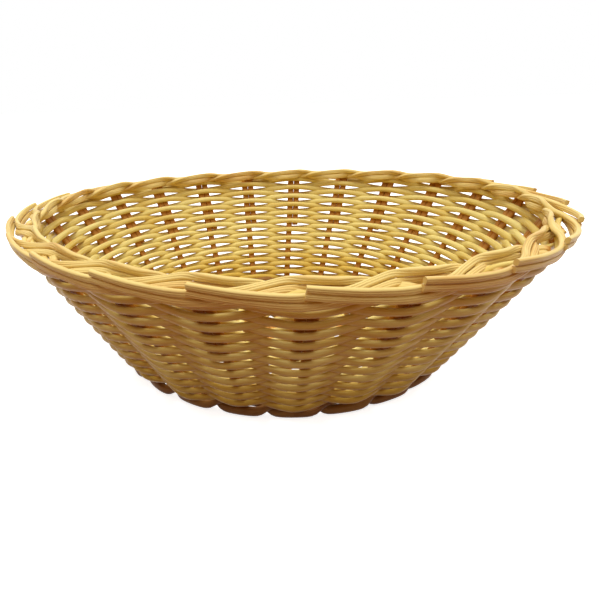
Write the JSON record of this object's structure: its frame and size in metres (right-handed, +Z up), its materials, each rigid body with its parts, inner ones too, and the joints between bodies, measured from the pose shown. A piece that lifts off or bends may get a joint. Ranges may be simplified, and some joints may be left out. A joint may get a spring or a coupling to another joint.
{
  "type": "woven wicker basket",
  "caption": "Round open-weave bread basket with a flared woven wall, doubled stakes plaited into a border, and a flat woven base on a thick foot.",
  "frame": {"origin": "on the table, at the centre of the foot", "axes": "+Z up along the axis of the bowl, -Y towards the viewer of the picture, +X to the right"},
  "size_m": [0.2206, 0.221, 0.0638],
  "materials": {
    "weaver_cane": "satin varnish",
    "stake_cane": "satin varnish",
    "foot_cane": "satin varnish"
  },
  "bodies": {
    "root": {"base_stick_1": "stake_cane", "base_stick_2": "stake_cane", "base_stick_3": "stake_cane", "base_stick_4": "stake_cane", "base_stick_5": "stake_cane", "base_stick_6": "stake_cane", "base_weave_row_1": "weaver_cane", "base_weave_row_2": "weaver_cane", "base_weave_row_3": "weaver_cane", "base_weave_row_4": "weaver_cane", "base_weave_row_5": "weaver_cane", "by_stakes": "stake_cane", "foot_wale": "foot_cane", "stake_01": "stake_cane", "stake_02": "stake_cane", "stake_03": "stake_cane", "stake_04": "stake_cane", "stake_05": "stake_cane", "stake_06": "stake_cane", "stake_07": "stake_cane", "stake_08": "stake_cane", "stake_09": "stake_cane", "stake_10": "stake_cane", "stake_11": "stake_cane", "stake_12": "stake_cane", "stake_13": "stake_cane", "stake_14": "stake_cane", "stake_15": "stake_cane", "stake_16": "stake_cane", "stake_17": "stake_cane", "stake_18": "stake_cane", "stake_19": "stake_cane", "stake_20": "stake_cane", "stake_21": "stake_cane", "stake_22": "stake_cane", "stake_23": "stake_cane", "weave_row_01": "weaver_cane", "weave_row_02": "weaver_cane", "weave_row_03": "weaver_cane", "weave_row_04": "weaver_cane", "weave_row_05": "weaver_cane", "weave_row_06": "weaver_cane", "weave_row_07": "weaver_cane", "weave_row_08": "weaver_cane", "weave_row_09": "weaver_cane", "weave_row_10": "weaver_cane", "weave_row_11": "weaver_cane", "weave_row_12": "weaver_cane"}
  },
  "joints": []
}
